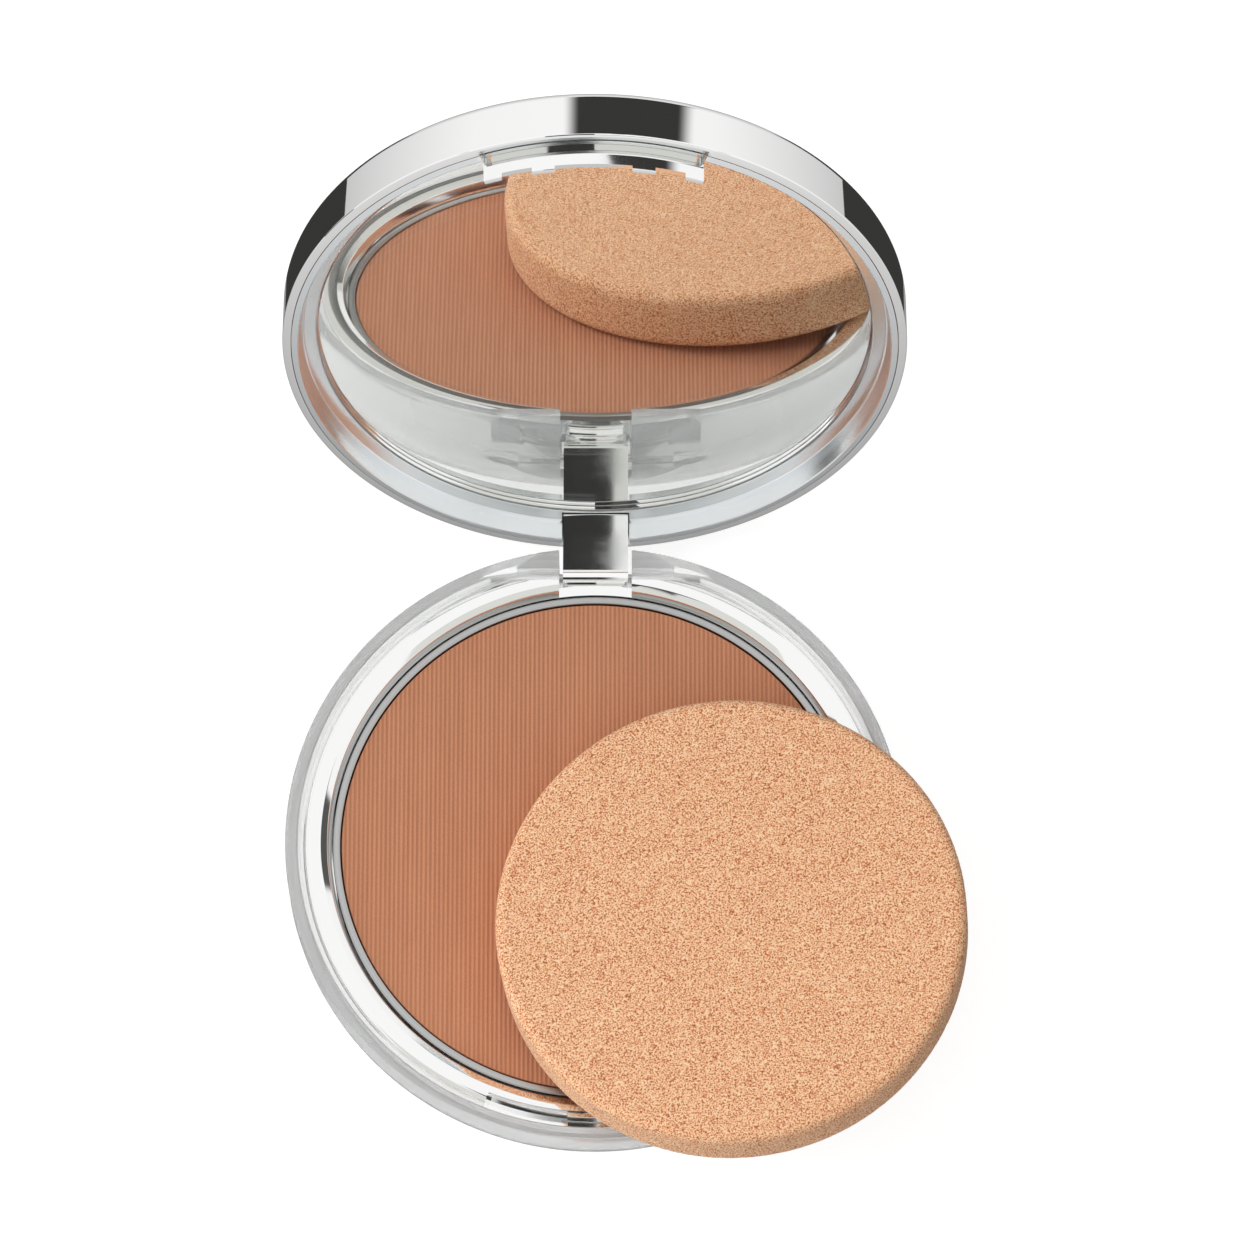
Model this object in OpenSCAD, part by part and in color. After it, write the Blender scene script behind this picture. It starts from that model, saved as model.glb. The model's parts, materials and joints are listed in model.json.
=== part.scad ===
// Round powder compact: a clear base with a silvered tray, a chrome lid with a
// glass mirror, a hinge on two short steel pins, and a loose foam sponge.
// The origin is the centre of the flat underside, the hinge is at +Y and the
// catch at -Y. It is drawn with the lid open at its stop and the sponge
// leaning on the front right of the base.

/* [Case] */
// Outer radius of the base and the lid
case_r = 36.5; // [35:0.1:38]
// Height of the base up to its rim
base_h = 11.8; // [11.4:0.1:13]
// Height of the lid from its rim plane to its back
lid_h = 7.4; // [7:0.1:8]
// Gap between the two rims when the case is shut
rim_gap = 0.15; // [0.1:0.01:0.25]

/* [Base] */
// Radius of the rounded edge under the base
foot_round = 7.2; // [6.5:0.1:8]
// Thickness of the clear wall
shell_wall = 1.5; // [1.4:0.1:1.6]
// Thickness of the clear floor
shell_floor = 1.6; // [1.2:0.1:2]
// Depth of the powder's surface below the rim
powder_drop = 2.1; // [2:0.1:2.4]
// Radius of the powder
powder_r = 30.05; // [29.8:0.05:30.2]
// Height of the powder pan
pan_h = 4.4; // [3.8:0.1:4.8]

/* [Lid] */
// Depth of the mirror's face below the lid's rim
mirror_drop = 2.95; // [2.9:0.05:3.2]
// Radius of the mirror
mirror_r = 32.46; // [32.2:0.02:32.5]
// Thickness of the mirror glass
mirror_t = 1.35; // [1:0.05:1.4]
// Angle that the lid opens to
lid_open = 110.2; // [90:0.1:111]

/* [Hinge] */
// Distance of the hinge axis behind the centre
hinge_y = 34.6; // [34.4:0.1:34.7]
// Depth of the hinge axis below the base's rim
hinge_drop = 5.8; // [5.6:0.1:5.8]
// Width of the lid's hinge knuckle
knuckle_w = 7.8; // [7:0.1:8]
// Radius of the knuckle's round end
knuckle_r = 1.75; // [1.5:0.05:1.8]
// Radius of a hinge pin
pin_r = 0.5; // [0.4:0.05:0.6]

/* [Catch] */
// Half of the angle that the clasp spans, seen from the centre
clasp_half = 21.2; // [20:0.1:21.4]
// How far the clasp stands out of the lid's rim plane
clasp_h = 2.85; // [2.6:0.05:3]

/* [Sponge] */
// Radius of the sponge
sponge_r = 27.5; // [26:0.1:28]
// Thickness of the sponge
sponge_t = 7.4; // [6:0.1:8]
// Radius of the sponge's rounded edge
sponge_round = 1.2; // [1:0.1:3]

/* [Hidden] */
$fn = 96;

// clear shell
shell_r = case_r - shell_wall;
label_r = 14;
label_t = 0.15;
boss_y = 32.7;
slot_w = knuckle_w + 0.86;
slot_floor = base_h - 8.1;
relief_r = hinge_drop - 0.05;
bore_end = 9.4;
counterbore_r = 1;

// silvered tray
tray_r = shell_r - 0.15;
skirt_drop = 4.4;
skirt_r = tray_r - 1.1;
deck_drop = 0.4;
deck_round = 1.6;
deck_inner_r = 32.35;
deck_t = 1.1;
slope_r = 31.5;
slope_drop = 0.4;
pocket_r = 31.1;
pocket_wall = 1.2;
seat_drop = powder_drop - 0.15;
adhesive_t = 0.2;
pocket_floor = base_h - seat_drop - pan_h - adhesive_t;
tray_floor_t = 1.2;
recess_half = 21.9;
recess_r = 33.25;
recess_drop = 3.3;
nib_w = 6.3;
nib_r = 33.6;

// powder pan
pan_r = pocket_r - 0.15;
pan_wall = 0.4;
pan_floor_z = pocket_floor + adhesive_t;

// hinge
hinge_z = base_h - hinge_drop;
pin_in = 1.3;
pin_out = 7.8;
knuckle_bore_r = pin_r + 0.05;

// lid, in the closed position
rim_z = base_h + rim_gap;
lid_round = 1.4;
lid_wall = 1;
lid_top_t = 1.2;
frame_r = case_r - lid_wall - 0.05;
frame_body_r = frame_r - 0.25;
frame_lip_t = 1.2;
frame_rim_r = 34.65;
ledge_r = 34.1;
ledge_drop = 2.75;
seat_r = 32.6;
tape_t = 0.25;
tape_r = mirror_r - 2;
frame_seat = mirror_drop + mirror_t + tape_t;
frame_back = frame_seat + 0.9;
notch_w = knuckle_w + 0.3;

// clasp
clasp_r = 34.75;
clasp_t = 0.85;
clasp_root = 1.6;
clasp_gap = 0.1;
tooth_h = 0.5;
window_w = 8.8;
relief_out_r = 36.1;
relief_deep = 1.1;

// sponge: the place of its centre, the compass angle of its raised side and its tilt
sponge_x = 16;
sponge_y = -12;
sponge_z = 15.85;
sponge_az = -45;
sponge_tilt = 5.2;

// ---- shared shapes ----

// a round solid's outline with a rounded lower edge
module bowl_outline(r, h, corner) {
    intersection() {
        square([r, h]);
        union() {
            square([r - corner, h]);
            translate([0, corner]) square([r, h - corner]);
            translate([r - corner, corner]) circle(corner);
        }
    }
}

module ring(outer, inner, low, high) {
    translate([0, 0, low]) difference() {
        cylinder(r = outer, h = high - low);
        translate([0, 0, -1]) cylinder(r = inner, h = high - low + 2);
    }
}

// everything within an angle either side of the front, -Y
module front_sector(half, low, high) {
    reach = 60;
    translate([0, 0, low]) linear_extrude(high - low)
        polygon([[0, 0],
                 [-reach * sin(half), -reach * cos(half)],
                 [0, -reach / cos(half)],
                 [reach * sin(half), -reach * cos(half)]]);
}

// a round bar along X on the hinge axis, from x0 to x1
module hinge_bar(r, x0, x1) {
    translate([x0, hinge_y, hinge_z]) rotate([0, 90, 0]) cylinder(r = r, h = x1 - x0);
}

// moves a child from the closed lid to the lid open at its stop
module opened() {
    translate([0, hinge_y, hinge_z]) rotate([-lid_open, 0, 0])
        translate([0, -hinge_y, -hinge_z]) children();
}

// a closed-lid shape drawn with its rim plane at z = 0 and its back upwards
module on_rim() {
    translate([0, 0, rim_z]) children();
}

// ---- base ----

module base_shell() {
    color([0.93, 0.95, 0.96, 0.4]) difference() {
        rotate_extrude() bowl_outline(case_r, base_h, foot_round);
        difference() {
            translate([0, 0, shell_floor])
                rotate_extrude() bowl_outline(shell_r, base_h, foot_round - shell_wall);
            translate([-20, boss_y, 0]) cube([40, 10, base_h + 1]);
        }
        // slot for the knuckle, open at the back
        translate([-slot_w / 2, boss_y - 2, slot_floor]) cube([slot_w, 20, base_h]);
        // the back edge follows the swing of the lid's rim
        difference() {
            translate([-20, hinge_y, hinge_z + 3]) cube([40, 10, base_h]);
            hinge_bar(relief_r, -25, 25);
        }
        // pin holes, wider where they leave the round wall
        hinge_bar(pin_r, -bore_end - 1, bore_end + 1);
        hinge_bar(counterbore_r, -20, -bore_end);
        hinge_bar(counterbore_r, bore_end, 20);
        translate([0, 0, -1]) cylinder(r = label_r, h = label_t + 1);
    }
}

module tray_outline() {
    top = base_h;
    deck = top - deck_drop;
    polygon(concat(
        [[0, pocket_floor - tray_floor_t],
         [pocket_r + pocket_wall, pocket_floor - tray_floor_t],
         [pocket_r + pocket_wall, deck - deck_t],
         [skirt_r, deck - deck_t],
         [skirt_r, top - skirt_drop],
         [tray_r, top - skirt_drop]],
        // the deck's outer edge turns down into the skirt in a quarter round
        [for (angle = [0 : 15 : 90])
            [tray_r - deck_round * (1 - cos(angle)), deck - deck_round * (1 - sin(angle))]],
        [[deck_inner_r, deck],
         [slope_r, deck - slope_drop],
         [pocket_r + 0.1, top - seat_drop + 0.2],
         [pocket_r, top - seat_drop],
         [pocket_r, pocket_floor],
         [0, pocket_floor]]
    ));
}

module base_tray() {
    top = base_h;
    color([0.86, 0.87, 0.88]) difference() {
        union() {
            rotate_extrude() tray_outline();
            // solid land round the clasp's recess
            intersection() {
                ring(skirt_r + 0.3, pocket_r + 0.6, top - skirt_drop, top - deck_drop - deck_t + 0.1);
                front_sector(recess_half + 2.5, top - skirt_drop, top);
            }
        }
        // recess for the clasp, with the catch nib left standing on its inner wall
        difference() {
            intersection() {
                ring(tray_r + 1, recess_r, top - recess_drop, top + 1);
                front_sector(recess_half, top - recess_drop, top + 1);
            }
            intersection() {
                ring(nib_r, recess_r - 0.5, top - 2.7, top - 0.9);
                translate([-nib_w / 2, -40, 0]) cube([nib_w, 20, 20]);
            }
        }
        // room for the clear hinge boss behind the tray
        translate([-20, boss_y - 0.15, 0]) cube([40, 10, base_h + 1]);
        // shelf in front of the knuckle
        translate([-slot_w / 2, pocket_r - 3, top - seat_drop]) cube([slot_w, 10, 10]);
    }
}

module powder_pan() {
    lip_top = base_h - seat_drop;
    color([0.72, 0.73, 0.74]) rotate_extrude() difference() {
        union() {
            translate([0, pan_floor_z]) bowl_outline(pan_r - 0.15, pan_h - 0.4, 1.2);
            translate([0, lip_top - 0.8]) square([pan_r, 0.8]);
        }
        translate([0, pan_floor_z + pan_wall])
            bowl_outline(powder_r, pan_h + 1, 0.9);
    }
}

module pressed_powder() {
    color([0.66, 0.42, 0.30]) translate([0, 0, pan_floor_z + pan_wall])
        rotate_extrude() bowl_outline(powder_r, pan_h - pan_wall - powder_drop + seat_drop, 0.9);
}

module pan_adhesive() {
    color([0.85, 0.83, 0.75]) translate([0, 0, pocket_floor])
        cylinder(r = pan_r - 4, h = adhesive_t);
}

module hinge_pin_right() {
    color([0.62, 0.63, 0.64]) hinge_bar(pin_r, pin_in, pin_out);
}

module hinge_pin_left() {
    mirror([1, 0, 0]) hinge_pin_right();
}

module base_label() {
    color([0.96, 0.96, 0.95]) cylinder(r = label_r - 0.1, h = label_t);
}

// ---- lid ----

module cap_outline() {
    difference() {
        mirror([0, 1]) translate([0, -lid_h]) bowl_outline(case_r, lid_h, lid_round);
        translate([0, -1]) square([case_r - lid_wall, lid_h - lid_top_t + 1]);
    }
}

module knuckle() {
    depth = hinge_drop + rim_gap;
    intersection() {
        union() {
            translate([-knuckle_w / 2, hinge_y - knuckle_r, hinge_z])
                cube([knuckle_w, 2 * knuckle_r, depth + lid_h - lid_top_t + 0.3]);
            hinge_bar(knuckle_r, -knuckle_w / 2, knuckle_w / 2);
        }
        cylinder(r = case_r - 0.3, h = 40);
    }
}

module lid_shell() {
    color([0.80, 0.81, 0.82]) opened() difference() {
        union() {
            on_rim() rotate_extrude() cap_outline();
            knuckle();
        }
        on_rim() clasp_relief();
        hinge_bar(knuckle_bore_r, pin_in - 0.3, knuckle_w);
        hinge_bar(knuckle_bore_r, -knuckle_w, 0.3 - pin_in);
    }
}

module frame_outline() {
    polygon([
        [frame_rim_r + 0.1, 0], [frame_r, 0],
        [frame_r, frame_lip_t], [frame_body_r, frame_lip_t],
        [frame_body_r, frame_back], [0, frame_back],
        [0, frame_seat], [seat_r, frame_seat],
        [seat_r, ledge_drop], [ledge_r - 0.05, ledge_drop],
        [ledge_r + 0.1, ledge_drop - 0.15], [frame_rim_r - 0.05, 0.1]
    ]);
}

// the stretch of the front of the lid's rim that the clasp fills, with some room
module clasp_place(gap, low, high) {
    intersection() {
        ring(clasp_r + gap, clasp_r - clasp_t - gap, low, high);
        front_sector(clasp_half + gap, low, high);
    }
}

// the rim steps back outside the clasp
module clasp_relief() {
    intersection() {
        ring(relief_out_r, clasp_r - clasp_t / 2, -1, relief_deep);
        front_sector(clasp_half + clasp_gap, -1, relief_deep);
    }
}

module lid_frame() {
    color([0.88, 0.89, 0.90]) opened() on_rim() difference() {
        rotate_extrude() frame_outline();
        translate([-notch_w / 2, seat_r + 0.1, -1]) cube([notch_w, 10, frame_back + 2]);
        clasp_place(clasp_gap, -1, clasp_root + 0.05);
        clasp_relief();
    }
}

module lid_clasp() {
    color([0.92, 0.93, 0.94]) opened() on_rim() difference() {
        clasp_place(0, -clasp_h, clasp_root);
        // the middle of the free edge is cut back
        translate([-window_w / 2, -40, -clasp_h - 1]) cube([window_w, 20, 1 + tooth_h]);
        // the hooks step back on the inside, beside the cut-out
        for (side = [-1, 1])
            translate([side * 8.7 - 1.7, -clasp_r + 0.45, -clasp_h - 1]) cube([3.4, 4, 1.6]);
    }
}

module mirror_glass() {
    color([0.75, 0.80, 0.82]) opened() on_rim()
        translate([0, 0, mirror_drop]) cylinder(r = mirror_r, h = mirror_t);
}

module mirror_tape() {
    color([0.95, 0.95, 0.90]) opened() on_rim()
        translate([0, 0, mirror_drop + mirror_t]) cylinder(r = tape_r, h = tape_t);
}

// ---- sponge ----

module sponge() {
    half = sponge_t / 2;
    color([0.93, 0.70, 0.53]) translate([sponge_x, sponge_y, sponge_z])
        rotate([0, 0, sponge_az]) rotate([0, -sponge_tilt, 0])
        rotate_extrude() union() {
            translate([0, -half]) square([sponge_r - sponge_round, sponge_t]);
            translate([0, sponge_round - half])
                square([sponge_r, sponge_t - 2 * sponge_round]);
            for (side = [-1, 1])
                translate([sponge_r - sponge_round, side * (half - sponge_round)])
                    circle(sponge_round);
        }
}

base_shell();
base_tray();
powder_pan();
pressed_powder();
pan_adhesive();
hinge_pin_left();
hinge_pin_right();
base_label();
lid_shell();
lid_frame();
lid_clasp();
mirror_glass();
mirror_tape();
sponge();
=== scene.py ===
import json
import math
import bpy
from mathutils import Matrix, Vector, noise


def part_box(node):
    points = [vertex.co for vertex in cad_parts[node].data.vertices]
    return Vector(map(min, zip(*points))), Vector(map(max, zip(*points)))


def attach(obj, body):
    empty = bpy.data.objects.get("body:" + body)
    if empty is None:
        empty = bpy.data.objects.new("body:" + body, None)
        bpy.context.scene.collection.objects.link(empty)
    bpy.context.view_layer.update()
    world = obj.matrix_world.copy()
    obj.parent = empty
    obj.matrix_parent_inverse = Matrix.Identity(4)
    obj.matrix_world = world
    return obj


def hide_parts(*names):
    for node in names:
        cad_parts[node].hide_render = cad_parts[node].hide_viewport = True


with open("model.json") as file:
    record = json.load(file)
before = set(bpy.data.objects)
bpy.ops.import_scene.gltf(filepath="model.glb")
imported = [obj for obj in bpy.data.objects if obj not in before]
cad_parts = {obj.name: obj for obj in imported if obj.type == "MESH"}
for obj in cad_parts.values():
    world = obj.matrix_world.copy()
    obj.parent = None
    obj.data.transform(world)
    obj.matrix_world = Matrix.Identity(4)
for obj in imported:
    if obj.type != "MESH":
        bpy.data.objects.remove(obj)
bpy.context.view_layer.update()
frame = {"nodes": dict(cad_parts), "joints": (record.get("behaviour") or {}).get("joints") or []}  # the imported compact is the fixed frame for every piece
nodes = frame["nodes"]
hinge = next(j for j in frame["joints"] if j["name"] == "lid_hinge")
mm = 0.001
mergeGap = 0.0000005
print("frame loaded:", len(nodes), "nodes")


# ---- small tools for working by hand ----

def setMode(mode):
    bpy.ops.object.mode_set(mode=mode)


def pick(piece):
    if bpy.context.mode != "OBJECT":
        setMode("OBJECT")
    bpy.ops.object.select_all(action="DESELECT")
    piece.select_set(True)
    bpy.context.view_layer.objects.active = piece


def editAll(piece):
    pick(piece)
    setMode("EDIT")
    bpy.ops.mesh.select_all(action="SELECT")


def selectWhere(piece, test, kind="VERT"):
    # leaves the piece in edit mode with the parts that pass the test selected, places in mm
    bpy.context.tool_settings.mesh_select_mode = (kind == "VERT", kind == "EDGE", kind == "FACE")
    editAll(piece)
    bpy.ops.mesh.select_all(action="DESELECT")
    setMode("OBJECT")
    mesh = piece.data
    if kind == "VERT":
        for vert in mesh.vertices:
            vert.select = test(vert.co / mm)
    elif kind == "EDGE":
        for edge in mesh.edges:
            edge.select = test(*(mesh.vertices[i].co / mm for i in edge.vertices))
    else:
        for face in mesh.polygons:
            face.select = test(face.center / mm, face.normal)
    setMode("EDIT")


def moveTo(piece, matrix):
    # turns and places the piece, then applies it, so that its object stays at the origin
    piece.matrix_world = matrix
    pick(piece)
    bpy.ops.object.transform_apply(location=True, rotation=True, scale=True)


def drawChain(name, points, closed=True):
    # one vertex pulled out along an outline, in mm
    bpy.ops.object.select_all(action="DESELECT")
    bpy.ops.mesh.primitive_plane_add(size=mm, location=Vector(points[0]) * mm)
    piece = bpy.context.object
    piece.name = piece.data.name = name
    bpy.ops.object.transform_apply(location=True, rotation=False, scale=False)
    bpy.context.tool_settings.mesh_select_mode = (True, False, False)
    editAll(piece)
    bpy.ops.mesh.merge(type="CENTER")
    ends = points[1:] + (points[:1] if closed else [])
    for start, end in zip(points, ends):
        step = (Vector(end) - Vector(start)) * mm
        bpy.ops.mesh.extrude_region_move(TRANSFORM_OT_translate={"value": step})
    bpy.ops.mesh.select_all(action="SELECT")
    bpy.ops.mesh.remove_doubles(threshold=mergeGap)
    setMode("OBJECT")
    return piece


def roundCorner(piece, place, size, segments=3):
    corner = Vector(place)
    selectWhere(piece, lambda p: (p - corner).length < 0.002)
    bpy.ops.mesh.bevel(offset=size * mm, segments=segments, affect="VERTICES")
    setMode("OBJECT")


def turned(name, outline, corners=(), closed=False, steps=192):
    # a lathe: an outline of radius and height, its corners rounded, spun round Z
    piece = drawChain(name, [(r, 0, z) for r, z in outline], closed)
    for radius, height, size, segments in corners:
        roundCorner(piece, (radius, 0, height), size, segments)
    editAll(piece)
    bpy.ops.mesh.spin(steps=steps, angle=2 * math.pi, center=(0, 0, 0), axis=(0, 0, 1))
    tidyMesh(piece)
    return piece


def tidyMesh(piece):
    editAll(piece)
    bpy.ops.mesh.remove_doubles(threshold=mergeGap)
    bpy.ops.mesh.normals_make_consistent(inside=False)
    setMode("OBJECT")


def prism(name, outline, low, high):
    # a flat outline pulled up from low to high
    piece = drawChain(name, [(x, y, low) for x, y in outline])
    editAll(piece)
    bpy.ops.mesh.edge_face_add()
    bpy.ops.mesh.extrude_region_move(TRANSFORM_OT_translate={"value": (0, 0, (high - low) * mm)})
    tidyMesh(piece)
    return piece


def block(name, low, high):
    (x0, y0, z0), (x1, y1, z1) = low, high
    return prism(name, [(x0, y0), (x1, y0), (x1, y1), (x0, y1)], z0, z1)


def bar(name, radius, fromX, toX, y, z, sides=64):
    # a round bar along X
    bpy.ops.object.select_all(action="DESELECT")
    bpy.ops.mesh.primitive_cylinder_add(
        vertices=sides, radius=radius * mm, depth=(toX - fromX) * mm,
        location=((fromX + toX) / 2 * mm, y * mm, z * mm), rotation=(0, math.pi / 2, 0))
    piece = bpy.context.object
    piece.name = name
    bpy.ops.object.transform_apply(location=True, rotation=True, scale=False)
    return piece


def frontWedge(name, halfAngle, low, high, reach=60):
    # everything within an angle either side of the front
    side, ahead = reach * math.sin(halfAngle), reach * math.cos(halfAngle)
    tip = reach / math.cos(halfAngle)
    return prism(name, [(0, 0), (-side, -ahead), (0, -tip), (side, -ahead)], low, high)


def ring(name, outer, inner, low, high, steps=192):
    return turned(name, [(inner, low), (outer, low), (outer, high), (inner, high)], closed=True, steps=steps)


def combine(piece, other, operation="DIFFERENCE"):
    pick(piece)
    modifier = piece.modifiers.new("combine", "BOOLEAN")
    modifier.object, modifier.operation, modifier.solver = other, operation, "EXACT"
    bpy.ops.object.modifier_apply(modifier=modifier.name)
    bpy.data.objects.remove(other)
    return piece


def smooth(piece, degrees=30):
    # flat faces stay flat to a reflection, and only the rounded edges between them turn
    pick(piece)
    bpy.ops.object.shade_smooth_by_angle(angle=math.radians(degrees))
    weighting = piece.modifiers.new("weighting", "WEIGHTED_NORMAL")
    weighting.mode, weighting.weight, weighting.keep_sharp = "FACE_AREA", 100, True
    bpy.ops.object.modifier_apply(modifier="weighting")


def finishPiece(piece, body, material, replaced=()):
    piece.data.materials.clear()
    piece.data.materials.append(material)
    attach(piece, body)
    if replaced:
        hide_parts(*replaced)
    print("piece", piece.name, len(piece.data.polygons), "faces")


# ---- shader tools ----

def addNode(tree, kind, inputs=None, **settings):
    node = tree.nodes.new("ShaderNode" + kind)
    for name, value in settings.items():
        setattr(node, name, value)
    for name, value in (inputs or {}).items():
        if isinstance(value, bpy.types.NodeSocket):
            tree.links.new(value, node.inputs[name])
        else:
            node.inputs[name].default_value = value
    return node


def newGroup(name, inputs, outputs):
    group = bpy.data.node_groups.new(name, "ShaderNodeTree")
    for socketName, (kind, value) in inputs.items():
        socket = group.interface.new_socket(socketName, in_out="INPUT", socket_type="NodeSocket" + kind)
        if value is not None:
            socket.default_value = value
    for socketName, kind in outputs.items():
        group.interface.new_socket(socketName, in_out="OUTPUT", socket_type="NodeSocket" + kind)
    return group, group.nodes.new("NodeGroupInput").outputs, group.nodes.new("NodeGroupOutput").inputs


def placeGroup(tree, group, inputs):
    node = addNode(tree, "Group", node_tree=group)
    for name, value in inputs.items():
        if isinstance(value, bpy.types.NodeSocket):
            tree.links.new(value, node.inputs[name])
        else:
            node.inputs[name].default_value = value
    return node.outputs


def ramp(tree, factor, stops):
    node = addNode(tree, "ValToRGB", {"Fac": factor})
    elements = node.color_ramp.elements
    while len(elements) < len(stops):
        elements.new(0.5)
    for element, (position, colour) in zip(elements, stops):
        element.position, element.color = position, (*colour, 1)
    return node.outputs["Color"]


def startMaterial(name, **constants):
    # a Principled surface whose plain values sit on its own sockets
    material = bpy.data.materials.new(name)
    material.use_nodes = True
    tree = material.node_tree
    surface = tree.nodes["Principled BSDF"]
    for key, value in constants.items():
        socketName = {"ior": "IOR", "specular": "Specular IOR Level", "coat": "Coat Weight",
                      "transmission": "Transmission Weight", "colour": "Base Color",
                      "sheen": "Sheen Weight", "scatter": "Subsurface Weight"}.get(key, key.capitalize())
        surface.inputs[socketName].default_value = (*value, 1) if key == "colour" else value
    place = addNode(tree, "TexCoord").outputs["Object"]
    return material, tree, surface, place


def wire(tree, output, surface, socketName):
    tree.links.new(output, surface.inputs[socketName])


# handling marks: soft smudges and hairline rubs that only change the gloss
def makeHandling():
    group, given, out = newGroup("handlingMarks", {
        "Vector": ("Vector", None), "Roughness": ("Float", 0.05), "Smudge": ("Float", 0.03),
        "Hairline": ("Float", 0.02)}, {"Roughness": "Float", "Height": "Float"})
    soft = addNode(group, "TexNoise", {"Vector": given["Vector"], "Scale": 130, "Detail": 3})
    smudge = addNode(group, "MapRange", {"Value": soft.outputs["Fac"], 1: 0.45, 2: 0.7, 3: 0.0, 4: 1.0})
    stretched = addNode(group, "Mapping", {"Vector": given["Vector"], "Rotation": (0.3, 0.5, 0.6), "Scale": (1, 26, 9)})
    lines = addNode(group, "TexNoise", {"Vector": stretched.outputs["Vector"], "Scale": 420, "Detail": 1})
    hair = addNode(group, "MapRange", {"Value": lines.outputs["Fac"], 1: 0.62, 2: 0.75, 3: 0.0, 4: 1.0})
    first = addNode(group, "Math", {0: smudge.outputs[0], 1: given["Smudge"], 2: given["Roughness"]}, operation="MULTIPLY_ADD")
    second = addNode(group, "Math", {0: hair.outputs[0], 1: given["Hairline"], 2: first.outputs[0]}, operation="MULTIPLY_ADD")
    group.links.new(second.outputs[0], out["Roughness"])
    group.links.new(soft.outputs["Fac"], out["Height"])
    return group


# fine specks: pigment, pores or paper fibre, at the size that the material gives
def makeSpecks():
    group, given, out = newGroup("fineSpecks", {
        "Vector": ("Vector", None), "Size": ("Float", 1000.0), "Spread": ("Float", 0.3)},
        {"Mask": "Float", "Cloud": "Float"})
    cells = addNode(group, "TexVoronoi", {"Vector": given["Vector"], "Scale": given["Size"], "Randomness": 1.0})
    grain = addNode(group, "TexNoise", {"Vector": given["Vector"], "Scale": given["Size"], "Detail": 2})
    edge = addNode(group, "Math", {0: cells.outputs["Distance"], 1: given["Spread"]}, operation="SUBTRACT")
    mask = addNode(group, "MapRange", {"Value": edge.outputs[0], 1: -0.12, 2: 0.12, 3: 1.0, 4: 0.0})
    group.links.new(mask.outputs[0], out["Mask"])
    group.links.new(grain.outputs["Fac"], out["Cloud"])
    return group


# brushed lines along one direction, from a vector that the material stretches
def makeBrushed():
    group, given, out = newGroup("brushedLines", {"Vector": ("Vector", None), "Scale": ("Float", 900.0)},
                                 {"Lines": "Float"})
    lines = addNode(group, "TexNoise", {"Vector": given["Vector"], "Scale": given["Scale"], "Detail": 3, "Roughness": 0.6})
    group.links.new(lines.outputs["Fac"], out["Lines"])
    return group


handlingMarks, fineSpecks, brushedLines = makeHandling(), makeSpecks(), makeBrushed()


def metalFinish(name, colour, roughness, smudge, hairline, wave=0.0):
    material, tree, surface, place = startMaterial(name, colour=colour, metallic=1.0)
    marks = placeGroup(tree, handlingMarks, {"Vector": place, "Roughness": roughness, "Smudge": smudge, "Hairline": hairline})
    wire(tree, marks["Roughness"], surface, "Roughness")
    if wave:
        bump = addNode(tree, "Bump", {"Height": marks["Height"], "Strength": wave, "Distance": 0.0001})
        wire(tree, bump.outputs["Normal"], surface, "Normal")
    return material


def clearFinish(name, colour, ior, roughness, smudge, clarity=1.0):
    # clear pieces let the lamps through, so that what lies inside isn't left in the dark
    material, tree, surface, place = startMaterial(name, colour=colour, transmission=clarity, ior=ior, metallic=0.0)
    marks = placeGroup(tree, handlingMarks, {"Vector": place, "Roughness": roughness, "Smudge": smudge, "Hairline": 0.01})
    wire(tree, marks["Roughness"], surface, "Roughness")
    through = addNode(tree, "BsdfTransparent", {"Color": (*colour, 1)})
    mix = addNode(tree, "MixShader", {0: addNode(tree, "LightPath").outputs["Is Shadow Ray"],
                                      1: surface.outputs[0], 2: through.outputs[0]})
    tree.links.new(mix.outputs[0], tree.nodes["Material Output"].inputs["Surface"])
    return material


# ---- camera ----

camera = {"place": (0.003655, -0.25321, 0.82291), "tilt": 19.03, "lens": 207.46}

bpy.ops.object.camera_add(location=camera["place"], rotation=(math.radians(camera["tilt"]), 0, 0))
view = bpy.context.object
view.data.lens, view.data.sensor_width = camera["lens"], 36
view.data.clip_start, view.data.clip_end = 0.05, 20
bpy.context.scene.camera = view
print("camera set")


# ---- base ----

base = {"radius": 36.5, "height": 11.8, "foot": 7.2, "wall": 1.5, "floor": 1.6, "labelRadius": 14, "labelDepth": 0.15,
        "bossY": 32.7, "slotHalf": 4.33, "slotFloor": 3.7, "reliefRadius": 5.75, "bore": 0.515, "boreEnd": 9.4,
        "counterbore": 1.0, "rimRound": 0.22}
hingeY, hingeZ = hinge["pos_m"][1] / mm, hinge["pos_m"][2] / mm


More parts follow.
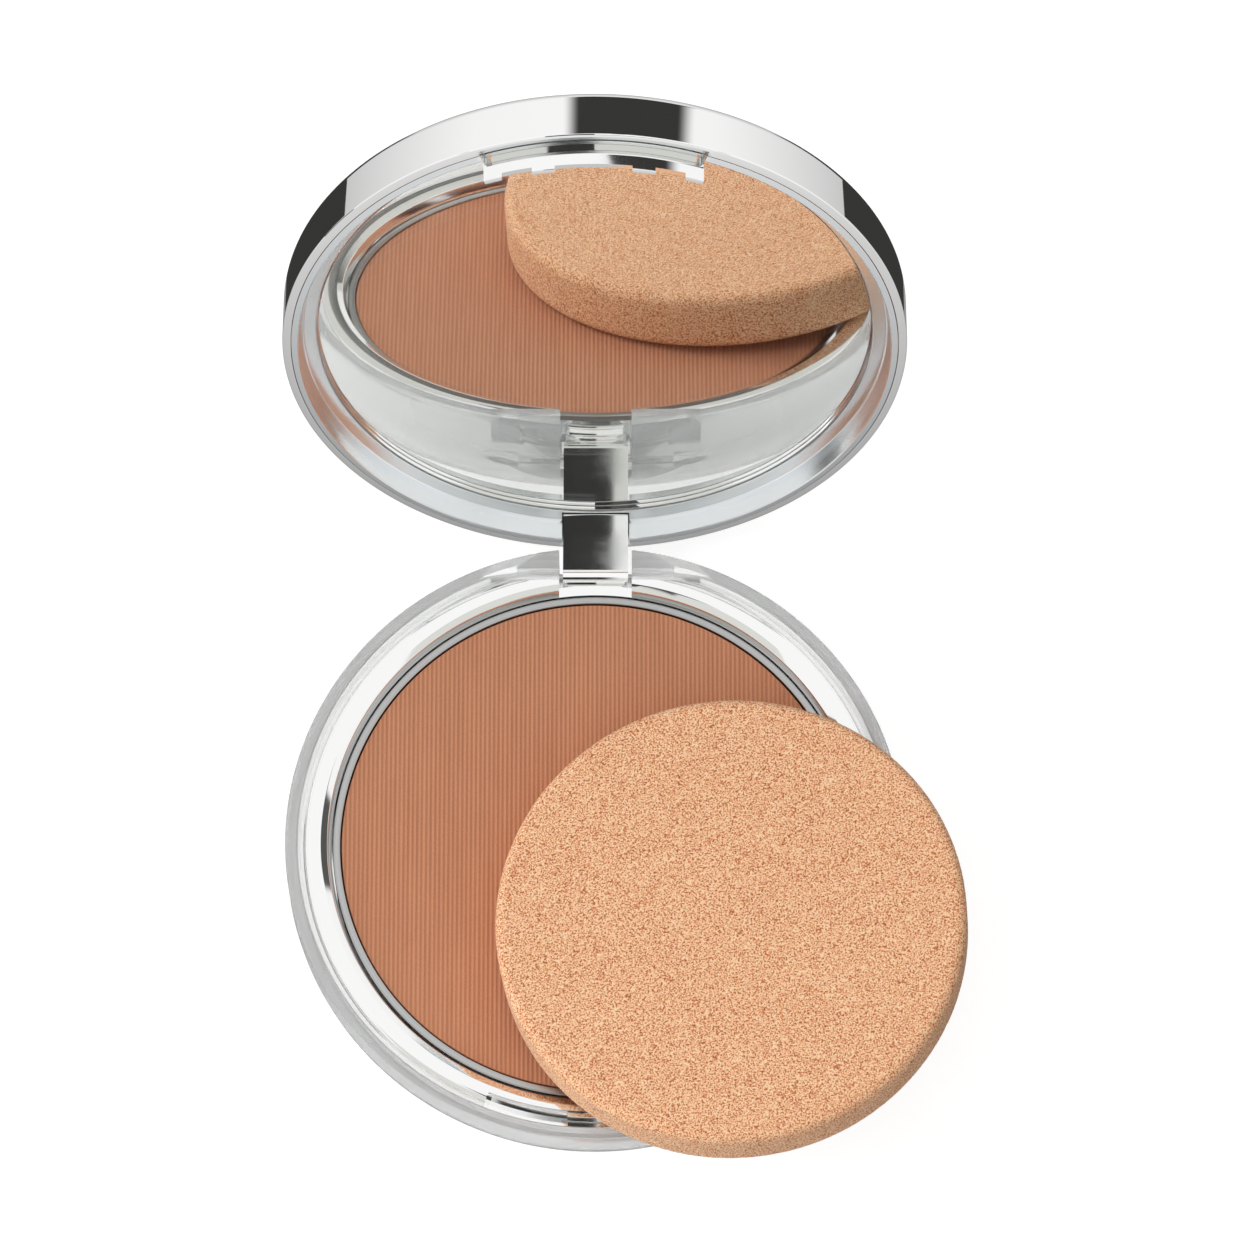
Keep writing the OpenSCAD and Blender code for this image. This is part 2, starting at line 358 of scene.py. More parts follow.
def makeBowl(b):
    radius, top, inner = b["radius"], b["height"], b["radius"] - b["wall"]
    bowl = turned("clearBowl", [(0, b["labelDepth"]), (b["labelRadius"], b["labelDepth"]), (b["labelRadius"], 0),
                                (radius, 0), (radius, top), (0, top)],
                  [(radius, 0, b["foot"], 18), (radius, top, b["rimRound"], 4), (b["labelRadius"], 0, 0.08, 2)], steps=256)
    flare = b["rimRound"] * 0.7
    cavity = turned("cavity", [(0, b["floor"]), (inner, b["floor"]), (inner, top - flare), (inner + flare, top),
                               (inner + flare, top + 1), (0, top + 1)],
                    [(inner, b["floor"], b["foot"] - b["wall"], 16)], steps=256)
    combine(cavity, block("boss", (-20, b["bossY"], 0), (20, 45, 20)))
    combine(bowl, cavity)
    combine(bowl, block("slot", (-b["slotHalf"], b["bossY"] - 2, b["slotFloor"]), (b["slotHalf"], 45, 20)))
    relief = block("relief", (-20, hingeY, hingeZ + 3), (20, 45, 20))
    combine(relief, bar("swing", b["reliefRadius"], -25, 25, hingeY, hingeZ, 128))
    combine(bowl, relief)
    combine(bowl, bar("bore", b["bore"], -b["boreEnd"] - 1, b["boreEnd"] + 1, hingeY, hingeZ, 40))
    for side in (-1, 1):
        ends = sorted((side * b["boreEnd"], side * 20))
        combine(bowl, bar("counterbore", b["counterbore"], *ends, hingeY, hingeZ, 48))
    tidyMesh(bowl)
    smooth(bowl)
    return bowl


clearPlastic = clearFinish("clearPlastic", (0.975, 0.98, 0.98), 1.49, 0.004, 0.03, 0.74)
finishPiece(makeBowl(base), "base", clearPlastic, ["base_shell"])

tray = {"radius": 34.85, "deckRound": 1.6, "deckInner": 32.35, "deckDrop": 0.4, "skirtDrop": 4.4, "skirtInner": 33.75,
        "slopeRadius": 31.5, "slopeDrop": 0.4, "pocket": 31.1, "pocketWall": 1.2, "seatDrop": 1.95, "pocketFloor": 5.25,
        "floorUnder": 4.05, "deckThick": 1.1, "recessHalf": 21.9, "recessRadius": 33.25, "recessDrop": 3.3,
        "recessDraft": 0.3, "nibHalf": 3.15, "nibRadius": 33.6}


def makeTray(t):
    top = base["height"]
    deck, seat, skirt = top - t["deckDrop"], top - t["seatDrop"], top - t["skirtDrop"]
    under = deck - t["deckThick"]
    outer = t["pocket"] + t["pocketWall"]
    piece = turned("silverTray", [
        (0, t["floorUnder"]), (outer, t["floorUnder"]), (outer, under), (t["skirtInner"], under), (t["skirtInner"], skirt),
        (t["radius"], skirt), (t["radius"], deck), (t["deckInner"], deck),
        (t["slopeRadius"], deck - t["slopeDrop"]), (t["pocket"] + 0.1, seat + 0.2), (t["pocket"], seat),
        (t["pocket"], t["pocketFloor"]), (0, t["pocketFloor"])],
        [(t["radius"], deck, t["deckRound"], 12), (t["deckInner"], deck, 0.14, 3),
         (t["slopeRadius"], deck - t["slopeDrop"], 0.12, 4), (t["pocket"] + 0.1, seat + 0.2, 0.1, 3)], steps=256)
    half = math.radians(t["recessHalf"])
    land = ring("land", t["skirtInner"] + 0.3, t["pocket"] + 0.6, skirt, under + 0.1)
    combine(land, frontWedge("landWedge", half + math.radians(2.5), skirt, top), "INTERSECT")
    combine(piece, land, "UNION")
    recess = turned("recess", [(t["recessRadius"], top - t["recessDrop"]), (t["radius"] + 1, top - t["recessDrop"]),
                               (t["radius"] + 1, top + 1), (t["recessRadius"] - t["recessDraft"], top + 1)], closed=True, steps=256)
    combine(recess, frontWedge("recessWedge", half, top - t["recessDrop"] - 0.01, top + 2), "INTERSECT")
    nib = ring("nib", t["nibRadius"], t["recessRadius"] - 0.5, top - 2.7, top - 0.9)
    combine(nib, block("nibBlock", (-t["nibHalf"], -40, 0), (t["nibHalf"], -20, 20)), "INTERSECT")
    combine(recess, nib)
    combine(piece, recess)
    combine(piece, block("bossRoom", (-20, base["bossY"] - 0.15, 0), (20, 45, 20)))
    combine(piece, block("shelf", (-base["slotHalf"], t["pocket"] - 3, seat), (base["slotHalf"], 45, 20)))
    tidyMesh(piece)
    smooth(piece, 25)
    return piece


traySilver = metalFinish("traySilver", (0.93, 0.93, 0.925), 0.05, 0.05, 0.03, 0.05)
finishPiece(makeTray(tray), "base", traySilver, ["base_tray"])

pan = {"radius": 30.8, "lipRadius": 30.95, "powderRadius": 30.05, "under": 5.45, "top": 9.85, "lip": 0.8, "floor": 0.4}


def makePan(p):
    low, high = p["under"], p["top"]
    piece = turned("powderPan", [
        (0, low), (p["radius"], low), (p["radius"], high - p["lip"]), (p["lipRadius"], high - p["lip"]),
        (p["lipRadius"], high), (p["powderRadius"], high), (p["powderRadius"], low + p["floor"]), (0, low + p["floor"])],
        [(p["radius"], low, 1.2, 8), (p["lipRadius"], high - p["lip"], 0.1, 2), (p["lipRadius"], high, 0.2, 5),
         (p["powderRadius"], high, 0.14, 4), (p["powderRadius"], low + p["floor"], 0.9, 6)], steps=224)
    smooth(piece)
    return piece


def panFinish():
    material, tree, surface, place = startMaterial("panAluminium", colour=(0.62, 0.625, 0.62), metallic=1.0)
    flat = addNode(tree, "SeparateXYZ", {0: place})
    away = addNode(tree, "VectorMath", {0: place}, operation="LENGTH")
    rings = addNode(tree, "CombineXYZ", {0: away.outputs["Value"], 1: flat.outputs["Z"]})
    lines = placeGroup(tree, brushedLines, {"Vector": rings.outputs[0], "Scale": 5200.0})["Lines"]
    rough = addNode(tree, "MapRange", {"Value": lines, 1: 0.3, 2: 0.7, 3: 0.22, 4: 0.38})
    wire(tree, rough.outputs[0], surface, "Roughness")
    wire(tree, ramp(tree, lines, [(0.3, (0.4, 0.403, 0.4)), (0.7, (0.54, 0.543, 0.54))]), surface, "Base Color")
    bump = addNode(tree, "Bump", {"Height": lines, "Strength": 0.25, "Distance": 0.00003})
    wire(tree, bump.outputs["Normal"], surface, "Normal")
    return material


finishPiece(makePan(pan), "base", panFinish(), ["powder_pan"])

cake = {"radius": 29.9, "low": 5.86, "high": 9.7, "edge": 0.16, "ribPitch": 0.53, "ribDepth": 0.07, "ribCount": 114}


def makeCake(c):
    # a ribbed slab, made from one rib that is copied across, then cut round by the turned cake
    pitch, deep, length = c["ribPitch"], c["ribDepth"], 2 * c["radius"] + 2
    start = -c["ribCount"] * pitch / 2
    steps = 6
    wave = [(start + pitch * i / steps, -length / 2, c["high"] - deep * (1 - math.cos(2 * math.pi * i / steps)) / 2)
            for i in range(steps + 1)]
    slab = drawChain("ribs", wave, closed=False)
    editAll(slab)
    bpy.ops.mesh.extrude_region_move(TRANSFORM_OT_translate={"value": (0, length * mm, 0)})
    setMode("OBJECT")
    copies = slab.modifiers.new("copies", "ARRAY")
    copies.count, copies.use_relative_offset, copies.use_constant_offset = c["ribCount"], False, True
    copies.constant_offset_displace = (pitch * mm, 0, 0)
    copies.use_merge_vertices, copies.merge_threshold = True, mergeGap * 4
    pick(slab)
    bpy.ops.object.modifier_apply(modifier="copies")
    editAll(slab)
    bpy.ops.mesh.extrude_region_move(TRANSFORM_OT_translate={"value": (0, 0, -8 * mm)})
    bpy.ops.transform.resize(value=(1, 1, 0))
    tidyMesh(slab)
    piece = turned("powderCake", [(0, c["low"]), (c["radius"], c["low"]), (c["radius"], c["high"]), (0, c["high"])],
                   [(c["radius"], c["low"], 0.9, 4), (c["radius"], c["high"], c["edge"], 4)], steps=224)
    combine(piece, slab, "INTERSECT")
    tidyMesh(piece)
    smooth(piece, 40)
    return piece


def powderFinish():
    material, tree, surface, place = startMaterial("pressedPowder", specular=0.25, sheen=0.12, roughness=0.86)
    surface.inputs["Sheen Roughness"].default_value = 0.6
    specks = placeGroup(tree, fineSpecks, {"Vector": place, "Size": 5200.0, "Spread": 0.2})
    along = addNode(tree, "Mapping", {"Vector": place, "Scale": (1, 0.045, 1)})
    streaks = addNode(tree, "TexNoise", {"Vector": along.outputs[0], "Scale": 1900, "Detail": 2})
    patches = addNode(tree, "TexNoise", {"Vector": place, "Scale": 70, "Detail": 2})
    # painted shade: the grooves are coloured darker, standing in for the shade the ribs cast into them, and the ribs
    # differ a little in tone
    depth = addNode(tree, "SeparateXYZ", {0: place})
    grooveShade = addNode(tree, "MapRange", {"Value": depth.outputs["Z"], 1: (cake["high"] - cake["ribDepth"]) * mm,
                                        2: cake["high"] * mm, 3: 0.0, 4: 1.0})
    lean = addNode(tree, "Math", {0: streaks.outputs["Fac"], 1: 0.4, 2: -0.2}, operation="MULTIPLY_ADD")
    tone = addNode(tree, "Math", {0: grooveShade.outputs[0], 1: 0.5, 2: lean.outputs[0]}, operation="MULTIPLY_ADD")
    cloud = addNode(tree, "Math", {0: patches.outputs["Fac"], 1: 0.24, 2: tone.outputs[0]}, operation="MULTIPLY_ADD")
    grain = addNode(tree, "Math", {0: specks["Cloud"], 1: 0.5, 2: cloud.outputs[0]}, operation="MULTIPLY_ADD")
    wire(tree, ramp(tree, grain.outputs[0], [(0.25, (0.44, 0.182, 0.094)), (0.62, (0.55, 0.236, 0.128)),
                                             (0.9, (0.64, 0.29, 0.162))]), surface, "Base Color")
    bump = addNode(tree, "Bump", {"Height": specks["Cloud"], "Strength": 0.5, "Distance": 0.00004})
    wire(tree, bump.outputs["Normal"], surface, "Normal")
    return material


finishPiece(makeCake(cake), "base", powderFinish(), ["pressed_powder"])

pin = {"radius": 0.5, "inner": 1.3, "outer": 7.8, "chamfer": 0.18}


def makePin(p, side, name):
    length = p["outer"] - p["inner"]
    piece = turned(name, [(0, 0), (p["radius"], 0), (p["radius"], length), (0, length)],
                   [(p["radius"], 0, p["chamfer"], 3), (p["radius"], length, p["chamfer"], 3)], steps=40)
    start = Vector((side * p["inner"], hingeY, hingeZ)) * mm
    moveTo(piece, Matrix.Translation(start) @ Matrix.Rotation(side * math.pi / 2, 4, "Y"))
    smooth(piece)
    return piece


def pinFinish():
    material, tree, surface, place = startMaterial("pinSteel", colour=(0.58, 0.58, 0.58), metallic=1.0)
    along = addNode(tree, "Mapping", {"Vector": place, "Scale": (0.05, 1, 1)})
    lines = placeGroup(tree, brushedLines, {"Vector": along.outputs[0], "Scale": 6000.0})["Lines"]
    rough = addNode(tree, "MapRange", {"Value": lines, 1: 0.3, 2: 0.7, 3: 0.18, 4: 0.34})
    wire(tree, rough.outputs[0], surface, "Roughness")
    return material


pinSteel = pinFinish()
for side, name, node in ((-1, "pinLeft", "hinge_pin_left"), (1, "pinRight", "hinge_pin_right")):
    finishPiece(makePin(pin, side, name), "base", pinSteel, [node])


# ---- lid, modelled shut with its rim plane at z = 0, then opened ----

lid = {"radius": 36.5, "height": 7.4, "round": 1.4, "wall": 1.0, "top": 1.2, "rimGap": 0.15, "openAngle": 110.2,
       "knuckleHalf": 3.9, "knuckleRadius": 1.75, "rimTilt": 10}
surround = {"radius": 35.45, "bodyRadius": 35.2, "lip": 1.2, "rim": 34.65, "ledgeRadius": 34.1, "ledgeDrop": 2.75,
            "seatRadius": 32.6, "seat": 4.55, "back": 5.45, "notchHalf": 4.05, "notchY": 32.7}
rimZ = base["height"] + lid["rimGap"]
hingeDown = rimZ - hingeZ
swing = (Matrix.Translation((0, hingeY * mm, hingeZ * mm)) @ Matrix.Rotation(-math.radians(lid["openAngle"]), 4, "X")
         @ Matrix.Translation((0, -hingeY * mm, (rimZ - hingeZ) * mm)))


def makeKnuckle(k):
    front, back, high = hingeY - k["knuckleRadius"], hingeY + k["knuckleRadius"], k["height"] - k["top"] + 0.3
    end = [(hingeY - k["knuckleRadius"] * math.cos(math.pi * i / 12), -hingeDown - k["knuckleRadius"] * math.sin(math.pi * i / 12))
           for i in range(13)]
    outline = [(front, high)] + end + [(back, high)]
    piece = drawChain("knuckle", [(-k["knuckleHalf"], y, z) for y, z in outline])
    editAll(piece)
    bpy.ops.mesh.edge_face_add()
    bpy.ops.mesh.extrude_region_move(TRANSFORM_OT_translate={"value": (2 * k["knuckleHalf"] * mm, 0, 0)})
    tidyMesh(piece)
    combine(piece, turned("caseEdge", [(0, -20), (k["radius"] - 0.3, -20), (k["radius"] - 0.3, 20), (0, 20)], steps=256), "INTERSECT")
    return piece


def rimHeight(radius):
    # the rim's face falls away slightly towards the outside
    return (radius - surround["rim"]) * math.tan(math.radians(lid["rimTilt"]))


clasp = {"radius": 34.75, "thick": 0.85, "halfAngle": 21.2, "out": 2.85, "root": 1.6, "gap": 0.1,
         "windowHalf": 4.4, "tooth": 0.5, "hookX": 8.7, "hookHalf": 1.7, "hookStep": 0.45, "draft": 0.31, "reliefRadius": 36.1, "reliefDeep": 1.1}


def claspPlace(name, gap, low, high, draft=0.0):
    half = math.radians(clasp["halfAngle"] + gap)
    outer, inner = clasp["radius"] + gap, clasp["radius"] - clasp["thick"] - gap
    piece = turned(name, [(inner, low), (outer - draft, low), (outer, high), (inner, high)],
                   [(outer - draft, low, 0.12, 3)] if draft else (), closed=True, steps=256)
    return combine(piece, frontWedge("claspWedge", half, low - 0.01, high + 0.01), "INTERSECT")


def claspRelief():
    # the rim steps back outside the clasp
    half = math.radians(clasp["halfAngle"] + clasp["gap"])
    piece = ring("relief", clasp["reliefRadius"], clasp["radius"] - clasp["thick"] / 2, -1, clasp["reliefDeep"], 256)
    return combine(piece, frontWedge("reliefWedge", half, -1.01, clasp["reliefDeep"] + 0.01), "INTERSECT")


def makeCover(c):
    radius, high, inner = c["radius"], c["height"], c["radius"] - c["wall"]
    lowInner, lowOuter = rimHeight(inner), rimHeight(radius)
    piece = turned("lidCover", [(inner, lowInner), (radius, lowOuter), (radius, high), (0, high), (0, high - c["top"]),
                                (inner, high - c["top"])],
                   [(inner, lowInner, 0.06, 2), (radius, lowOuter, 0.16, 3), (radius, high, c["round"], 8)],
                   closed=True, steps=256)
    combine(piece, claspRelief())
    combine(piece, makeKnuckle(c), "UNION")
    for side in (-1, 1):
        ends = sorted((side * (pin["inner"] - 0.3), side * 7))
        combine(piece, bar("knuckleBore", pin["radius"] + 0.05, *ends, hingeY, -hingeDown, 32))
    tidyMesh(piece)
    moveTo(piece, swing)
    smooth(piece, 25)
    return piece


lidChrome = metalFinish("lidChrome", (0.955, 0.955, 0.95), 0.02, 0.025, 0.015)
finishPiece(makeCover(lid), "lid", lidChrome, ["lid_shell"])

def makeSurround(s):
    piece = turned("lidSurround", [
        (s["rim"] + 0.1, 0), (s["radius"], rimHeight(s["radius"])), (s["radius"], s["lip"]), (s["bodyRadius"], s["lip"]), (s["bodyRadius"], s["back"]),
        (0, s["back"]), (0, s["seat"]), (s["seatRadius"], s["seat"]), (s["seatRadius"], s["ledgeDrop"]),
        (s["ledgeRadius"] - 0.05, s["ledgeDrop"]), (s["ledgeRadius"] + 0.1, s["ledgeDrop"] - 0.15), (s["rim"] - 0.05, 0.1)],
        [(s["radius"], rimHeight(s["radius"]), 0.06, 2), (s["seatRadius"], s["ledgeDrop"], 0.12, 3), (s["ledgeRadius"] - 0.05, s["ledgeDrop"], 0.05, 2)],
        closed=True, steps=256)
    combine(piece, block("notch", (-s["notchHalf"], s["notchY"], -1), (s["notchHalf"], 45, 8)))
    combine(piece, claspPlace("claspRoom", clasp["gap"], -1, clasp["root"] + 0.05))
    combine(piece, claspRelief())
    tidyMesh(piece)
    moveTo(piece, swing)
    smooth(piece, 25)
    return piece


frameSilver = metalFinish("frameSilver", (0.86, 0.885, 0.9), 0.2, 0.05, 0.03, 0.05)
finishPiece(makeSurround(surround), "lid", frameSilver, ["lid_frame"])


def makeClasp(c):
    piece = claspPlace("claspPlate", 0, -c["out"], c["root"], c["draft"])
    combine(piece, block("window", (-c["windowHalf"], -40, -c["out"] - 1), (c["windowHalf"], -20, -c["out"] + c["tooth"])))
    for side in (-1, 1):
        middle = side * c["hookX"]
        combine(piece, block("hookStep", (middle - c["hookHalf"], -c["radius"] + c["hookStep"], -c["out"] - 1),
                             (middle + c["hookHalf"], -20, -c["out"] + 0.6)))
    tidyMesh(piece)
    moveTo(piece, swing)
    smooth(piece, 25)
    return piece


claspChrome = metalFinish("claspChrome", (0.96, 0.96, 0.955), 0.03, 0.03, 0.02)
finishPiece(makeClasp(clasp), "lid", claspChrome, ["lid_clasp"])

mirror = {"radius": 32.46, "drop": 2.95, "thick": 1.35, "edge": 0.12, "silver": 0.02}


def makePane(m):
    low, high = m["drop"], m["drop"] + m["thick"] - 0.04
    piece = turned("mirrorPane", [(0, low), (m["radius"], low), (m["radius"], high), (0, high)],
                   [(m["radius"], low, m["edge"], 2), (m["radius"], high, m["edge"], 2)], steps=256)
    moveTo(piece, swing)
    smooth(piece)
    return piece


def makeSilvering(m):
    high = m["drop"] + m["thick"] - 0.01
    piece = turned("mirrorSilvering", [(0, high - m["silver"]), (m["radius"] - 0.05, high - m["silver"]), (m["radius"] - 0.05, high), (0, high)],
                   steps=256)
    moveTo(piece, swing)
    smooth(piece)
    return piece


paneGlass = clearFinish("paneGlass", (0.985, 0.992, 0.988), 1.52, 0.0, 0.0)
silvering = metalFinish("silvering", (0.89, 0.89, 0.88), 0.0, 0.0, 0.0)
finishPiece(makePane(mirror), "lid", paneGlass, ["mirror_glass"])
finishPiece(makeSilvering(mirror), "lid", silvering)


# ---- sponge ----

foam = {"radius": 27.5, "thick": 7.4, "round": 1.2, "crown": 0.1, "compass": -45, "tilt": 5.2, "voxel": 0.21,
        "poreSize": 0.45, "poreDepth": 0.06, "lumpSize": 4, "lump": 0.02}


def makeSponge(s):
    half, radius = s["thick"] / 2, s["radius"]
    shoulder = radius - s["round"] * 1.5
    piece = turned("foamSponge", [(0, -half), (shoulder * 0.55, -half + 0.02), (shoulder, -half + s["crown"]),
                                  (radius, -half + s["crown"]), (radius, half - s["crown"]), (shoulder, half - s["crown"]),
                                  (shoulder * 0.55, half - 0.02), (0, half)],
                   [(radius, -half + s["crown"], s["round"], 8), (radius, half - s["crown"], s["round"], 8)], steps=160)
    grid = piece.modifiers.new("grid", "REMESH")
    grid.mode, grid.voxel_size = "VOXEL", s["voxel"] * mm
    pick(piece)
    bpy.ops.object.modifier_apply(modifier="grid")
    smoother = piece.modifiers.new("smoother", "SMOOTH")
    smoother.factor, smoother.iterations = 0.5, 4
    bpy.ops.object.modifier_apply(modifier="smoother")
    # open pores and a slightly uneven surface, always inwards
    mesh = piece.data
    places = [vert.co.copy() for vert in mesh.vertices]
    normals = [vert.normal.copy() for vert in mesh.vertices]
    for vert, place, normal in zip(mesh.vertices, places, normals):
        pit = max(0.0, noise.noise(place / (s["poreSize"] * mm)))
        lump = 0.5 + 0.5 * noise.noise(place / (s["lumpSize"] * mm))
        vert.co = place - normal * mm * (s["poreDepth"] * pit + s["lump"] * lump)
    low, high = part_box("sponge")
    turn = Matrix.Rotation(math.radians(s["compass"]), 4, "Z") @ Matrix.Rotation(-math.radians(s["tilt"]), 4, "Y")
    moveTo(piece, Matrix.Translation((low + high) / 2) @ turn)
    for face in mesh.polygons:
        face.use_smooth = True
    return piece


def foamFinish():
    material, tree, surface, place = startMaterial("spongeFoam", specular=0.2, roughness=0.9, sheen=0.1, scatter=0.15)
    surface.inputs["Subsurface Radius"].default_value = (0.0012, 0.0006, 0.0003)
    surface.inputs["Subsurface Scale"].default_value = 1.0
    pores = placeGroup(tree, fineSpecks, {"Vector": place, "Size": 5200.0, "Spread": 0.3})["Cloud"]
    fine = placeGroup(tree, fineSpecks, {"Vector": place, "Size": 9500.0, "Spread": 0.3})["Cloud"]
    patches = addNode(tree, "TexNoise", {"Vector": place, "Scale": 260, "Detail": 2})
    grain = addNode(tree, "Math", {0: fine, 1: 0.4, 2: pores}, operation="MULTIPLY_ADD")
    tone = addNode(tree, "Math", {0: patches.outputs["Fac"], 1: 0.04, 2: grain.outputs[0]}, operation="MULTIPLY_ADD")
    wire(tree, ramp(tree, tone.outputs[0], [(0.56, (0.38, 0.1, 0.035)), (0.67, (0.8, 0.35, 0.17)),
                                            (0.76, (1.0, 0.6, 0.36)), (0.88, (1.0, 0.76, 0.5))]), surface, "Base Color")
    bump = addNode(tree, "Bump", {"Height": grain.outputs[0], "Strength": 0.7, "Distance": 0.0001})
    wire(tree, bump.outputs["Normal"], surface, "Normal")
    return material


sponge = makeSponge(foam)
finishPiece(sponge, "sponge", foamFinish(), ["sponge"])


# ---- CAD nodes that keep their shape ----

def paperFinish():
    material, tree, surface, place = startMaterial("labelPaper", specular=0.3, roughness=0.6)
    specks = placeGroup(tree, fineSpecks, {"Vector": place, "Size": 2600.0, "Spread": 0.2})
    wire(tree, ramp(tree, specks["Cloud"], [(0.3, (0.84, 0.84, 0.82)), (0.7, (0.92, 0.92, 0.91))]), surface, "Base Color")
    bump = addNode(tree, "Bump", {"Height": specks["Cloud"], "Strength": 0.2, "Distance": 0.00003})
    wire(tree, bump.outputs["Normal"], surface, "Normal")
    return material


def glueFinish():
    material, tree, surface, place = startMaterial("glue", specular=0.4, roughness=0.5)
    specks = placeGroup(tree, fineSpecks, {"Vector": place, "Size": 900.0, "Spread": 0.25})
    wire(tree, ramp(tree, specks["Cloud"], [(0.3, (0.72, 0.7, 0.62)), (0.7, (0.82, 0.8, 0.72))]), surface, "Base Color")
    return material


glue = glueFinish()
for name, material in (("base_label", paperFinish()), ("pan_adhesive", glue), ("mirror_tape", glue)):
    nodes[name].material_slots[0].material = material
print("CAD nodes finished")


# ---- studio ----

studio = {"floorSize": 1.6, "floorGlow": 0.8, "floorColour": 0.35, "lightFrom": (-0.78, -0.16, 0.6), "nearLight": 1.11, "farLight": 0.04, "clearSky": 1.0, "keyPower": 1.3, "cardGrey": 0.038,
          "bounces": 32}


def makeFloor(s):
    bpy.ops.object.select_all(action="DESELECT")
    bpy.ops.mesh.primitive_plane_add(size=s["floorSize"], location=(0, 0, -0.00002))
    floor = bpy.context.object
    floor.name = "floor"
    material, tree, surface, place = startMaterial("paleFloor", roughness=0.9, specular=0.1)
    grain = addNode(tree, "TexNoise", {"Vector": place, "Scale": 300, "Detail": 2})
    grey = s["floorColour"]
    wire(tree, ramp(tree, grain.outputs["Fac"], [(0.3, (grey,) * 3), (0.7, (grey + 0.01,) * 3)]), surface, "Base Color")
    surface.inputs["Emission Color"].default_value = (1, 1, 1, 1)
    surface.inputs["Emission Strength"].default_value = s["floorGlow"]
    floor.data.materials.append(material)
    floor.visible_glossy = floor.visible_diffuse = False


def makeCard(name, place, size, facing, grey, soft=0.02, passClear=True):
    # a flat card that only reflections see, its glow fading out towards its two sides
    bpy.ops.object.select_all(action="DESELECT")
    bpy.ops.mesh.primitive_plane_add(size=1)
    card = bpy.context.object
    card.name = name
    turn = (Vector(facing) - Vector(place)).to_track_quat("Z", "Y").to_matrix().to_4x4()
    moveTo(card, Matrix.Translation(place) @ turn @ Matrix.Diagonal((*size, 1, 1)))
    material = bpy.data.materials.new(name)
    material.use_nodes = True
    tree = material.node_tree
    tree.nodes.clear()
    glow = addNode(tree, "Emission", {"Color": (grey, grey, grey * 0.96, 1), "Strength": 1.0})
    clear = addNode(tree, "BsdfTransparent")
    across = addNode(tree, "SeparateXYZ", {0: addNode(tree, "TexCoord").outputs["UV"]})
    middle = addNode(tree, "Math", {0: across.outputs["X"], 1: 0.5}, operation="SUBTRACT")
    fromMiddle = addNode(tree, "Math", {0: middle.outputs[0]}, operation="ABSOLUTE")
    fade = addNode(tree, "MapRange", {"Value": fromMiddle.outputs[0], 1: 0.5 - soft, 2: 0.5, 3: 0.0, 4: 1.0},
                   interpolation_type="SMOOTHSTEP")
    seen = addNode(tree, "MixShader", {0: fade.outputs[0], 1: glow.outputs[0], 2: clear.outputs[0]})
    if passClear:
        seen = addNode(tree, "MixShader", {0: addNode(tree, "LightPath").outputs["Transmission Depth"],
                                           1: seen.outputs[0], 2: clear.outputs[0]})
    tree.links.new(seen.outputs[0], addNode(tree, "OutputMaterial").inputs[0])
    card.data.materials.append(material)
    card.visible_camera = card.visible_diffuse = card.visible_shadow = False
    card.visible_transmission = not passClear


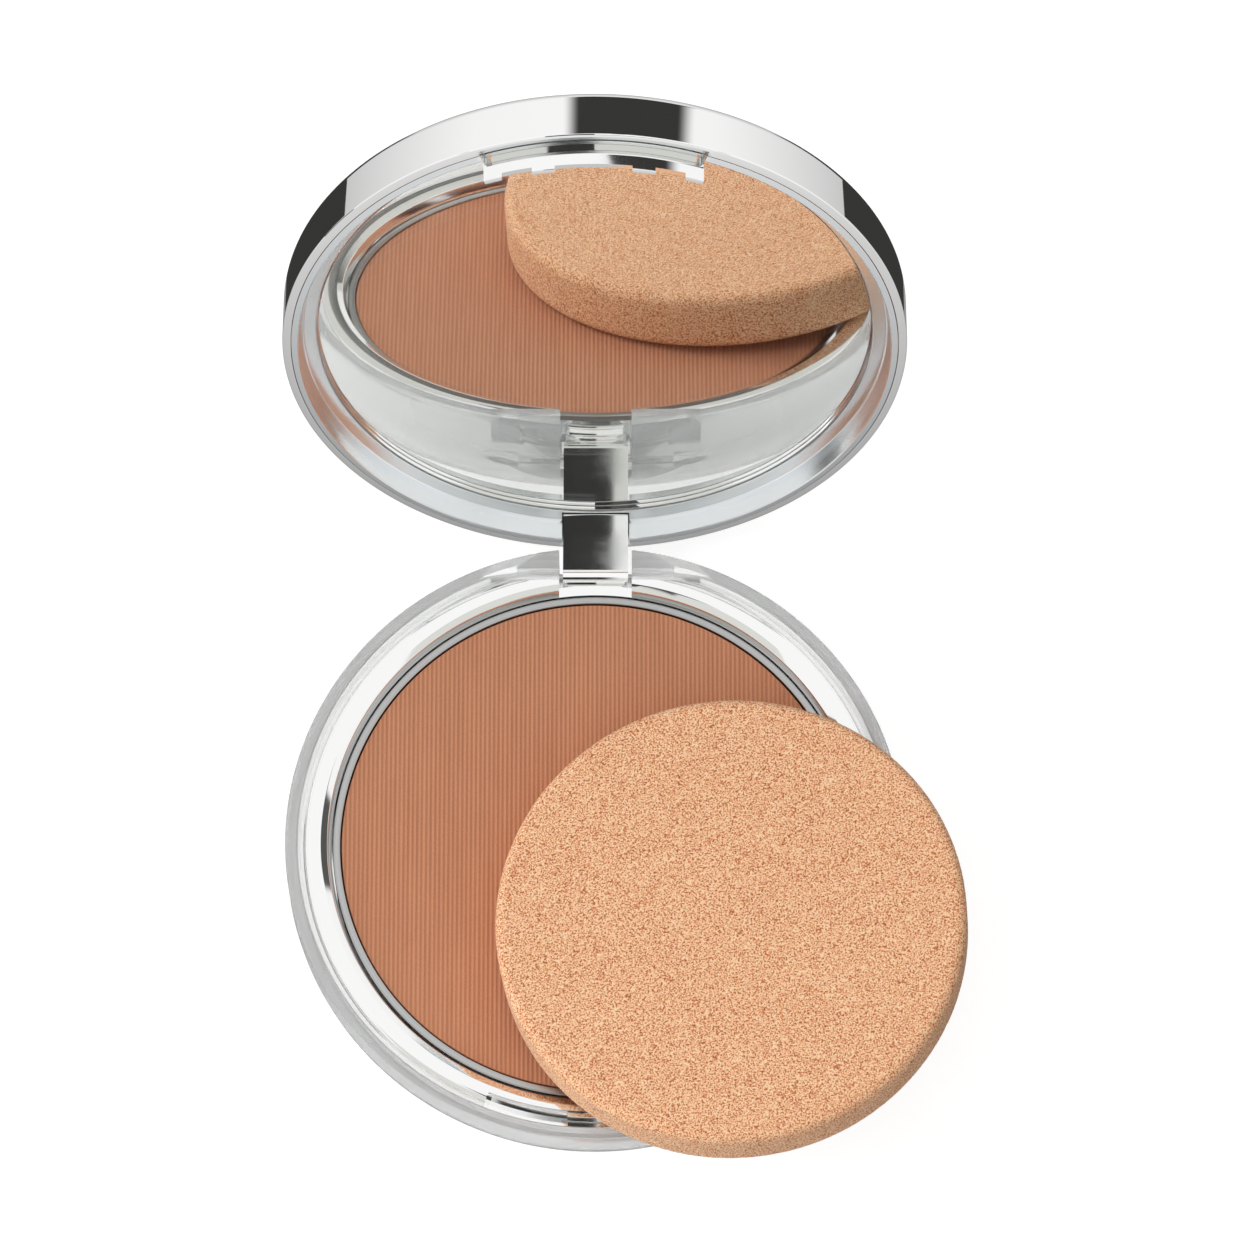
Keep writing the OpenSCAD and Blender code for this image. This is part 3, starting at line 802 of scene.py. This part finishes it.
def makeSky(s):
    # reflections see a sky that darkens downwards, clear plastic an even one, and matt surfaces
    # get most of their light from the upper left
    world = bpy.data.worlds.new("studioSky")
    bpy.context.scene.world = world
    world.use_nodes = True
    tree = world.node_tree
    tree.nodes.clear()
    way = addNode(tree, "SeparateXYZ", {0: addNode(tree, "TexCoord").outputs["Generated"]})
    height = addNode(tree, "MapRange", {"Value": way.outputs["Z"], 1: -1.0, 2: 1.0, 3: 0.0, 4: 1.0})
    colour = ramp(tree, height.outputs[0], [(0.1, (0.32, 0.32, 0.32)), (0.3, (0.6, 0.6, 0.6)), (0.5, (0.8, 0.8, 0.8)),
                                            (0.62, (0.93, 0.93, 0.93)), (0.9, (1.0, 1.0, 1.0))])
    towards = addNode(tree, "VectorMath", {0: addNode(tree, "TexCoord").outputs["Generated"], 1: s["lightFrom"]},
                      operation="DOT_PRODUCT")
    depth = addNode(tree, "MapRange", {"Value": towards.outputs["Value"], 1: -1.0, 2: 1.0, 3: s["farLight"], 4: s["nearLight"]})
    paths = addNode(tree, "LightPath")
    forGloss = addNode(tree, "Background", {"Color": colour})
    forClear = addNode(tree, "Background", {"Color": (s["clearSky"],) * 3 + (1,)})
    forMatt = addNode(tree, "Background", {"Color": (1.0, 0.99, 0.97, 1), "Strength": depth.outputs[0]})
    first = addNode(tree, "MixShader", {0: paths.outputs["Transmission Depth"], 1: forGloss.outputs[0], 2: forClear.outputs[0]})
    second = addNode(tree, "MixShader", {0: paths.outputs["Is Diffuse Ray"], 1: first.outputs[0], 2: forMatt.outputs[0]})
    tree.links.new(second.outputs[0], addNode(tree, "OutputWorld").inputs[0])


def addLamp(name, place, aim, size, power):
    bpy.ops.object.light_add(type="AREA", location=place)
    lamp = bpy.context.object
    lamp.name = name
    lamp.data.shape, lamp.data.size, lamp.data.energy = "DISK", size, power
    lamp.rotation_euler = (Vector(aim) - Vector(place)).to_track_quat("-Z", "Y").to_euler()
    lamp.visible_glossy = lamp.visible_transmission = False


makeFloor(studio)
makeSky(studio)
addLamp("keyLamp", (-0.62, -0.1, 0.5), (0, 0.0, 0.01), 0.3, studio["keyPower"])
makeCard("darkBehind", (0.155, 0.95, 0.43), (0.62, 0.44), (0, 0.05, 0.04), studio["cardGrey"], 0.14)
makeCard("darkPost", (0.125, 0.83, 0.69), (0.075, 0.12), (0, 0.06, 0.07), studio["cardGrey"], 0.08)
makeCard("darkByCamera", (-0.12, -0.3, 0.95), (0.24, 0.34), (-0.12, 0.03, 0.01), studio["cardGrey"], 0.0, False)
makeCard("darkLeftBelow", (-0.3, 0.3, -0.32), (0.4, 0.4), (0, 0.05, 0.03), studio["cardGrey"])
makeCard("darkRightBelow", (0.3, 0.3, -0.32), (0.4, 0.4), (0, 0.05, 0.03), studio["cardGrey"])
makeCard("darkRightAbove", (0.62, 0.28, 0.58), (0.24, 0.56), (0, 0.0, 0.01), 0.09, 0.1)
makeCard("darkLeft", (-1.0, -0.1, 0.1), (1.1, 0.25), (0, -0.05, 0.01), 0.12, 0.1, False)
makeCard("greyFront", (0, -0.75, 0.78), (2.0, 1.1), (0, 0.03, 0.02), 0.74, 0.05, False)
makeCard("darkFront", (0.12, -0.8, 0.46), (0.6, 0.28), (0, 0.03, 0.02), 0.12, 0.25, False)
bpy.context.scene.view_settings.view_transform = "Standard"
for bounces in ("glossy_bounces", "transmission_bounces", "max_bounces"):
    setattr(bpy.context.scene.cycles, bounces, studio["bounces"])
print("studio set")
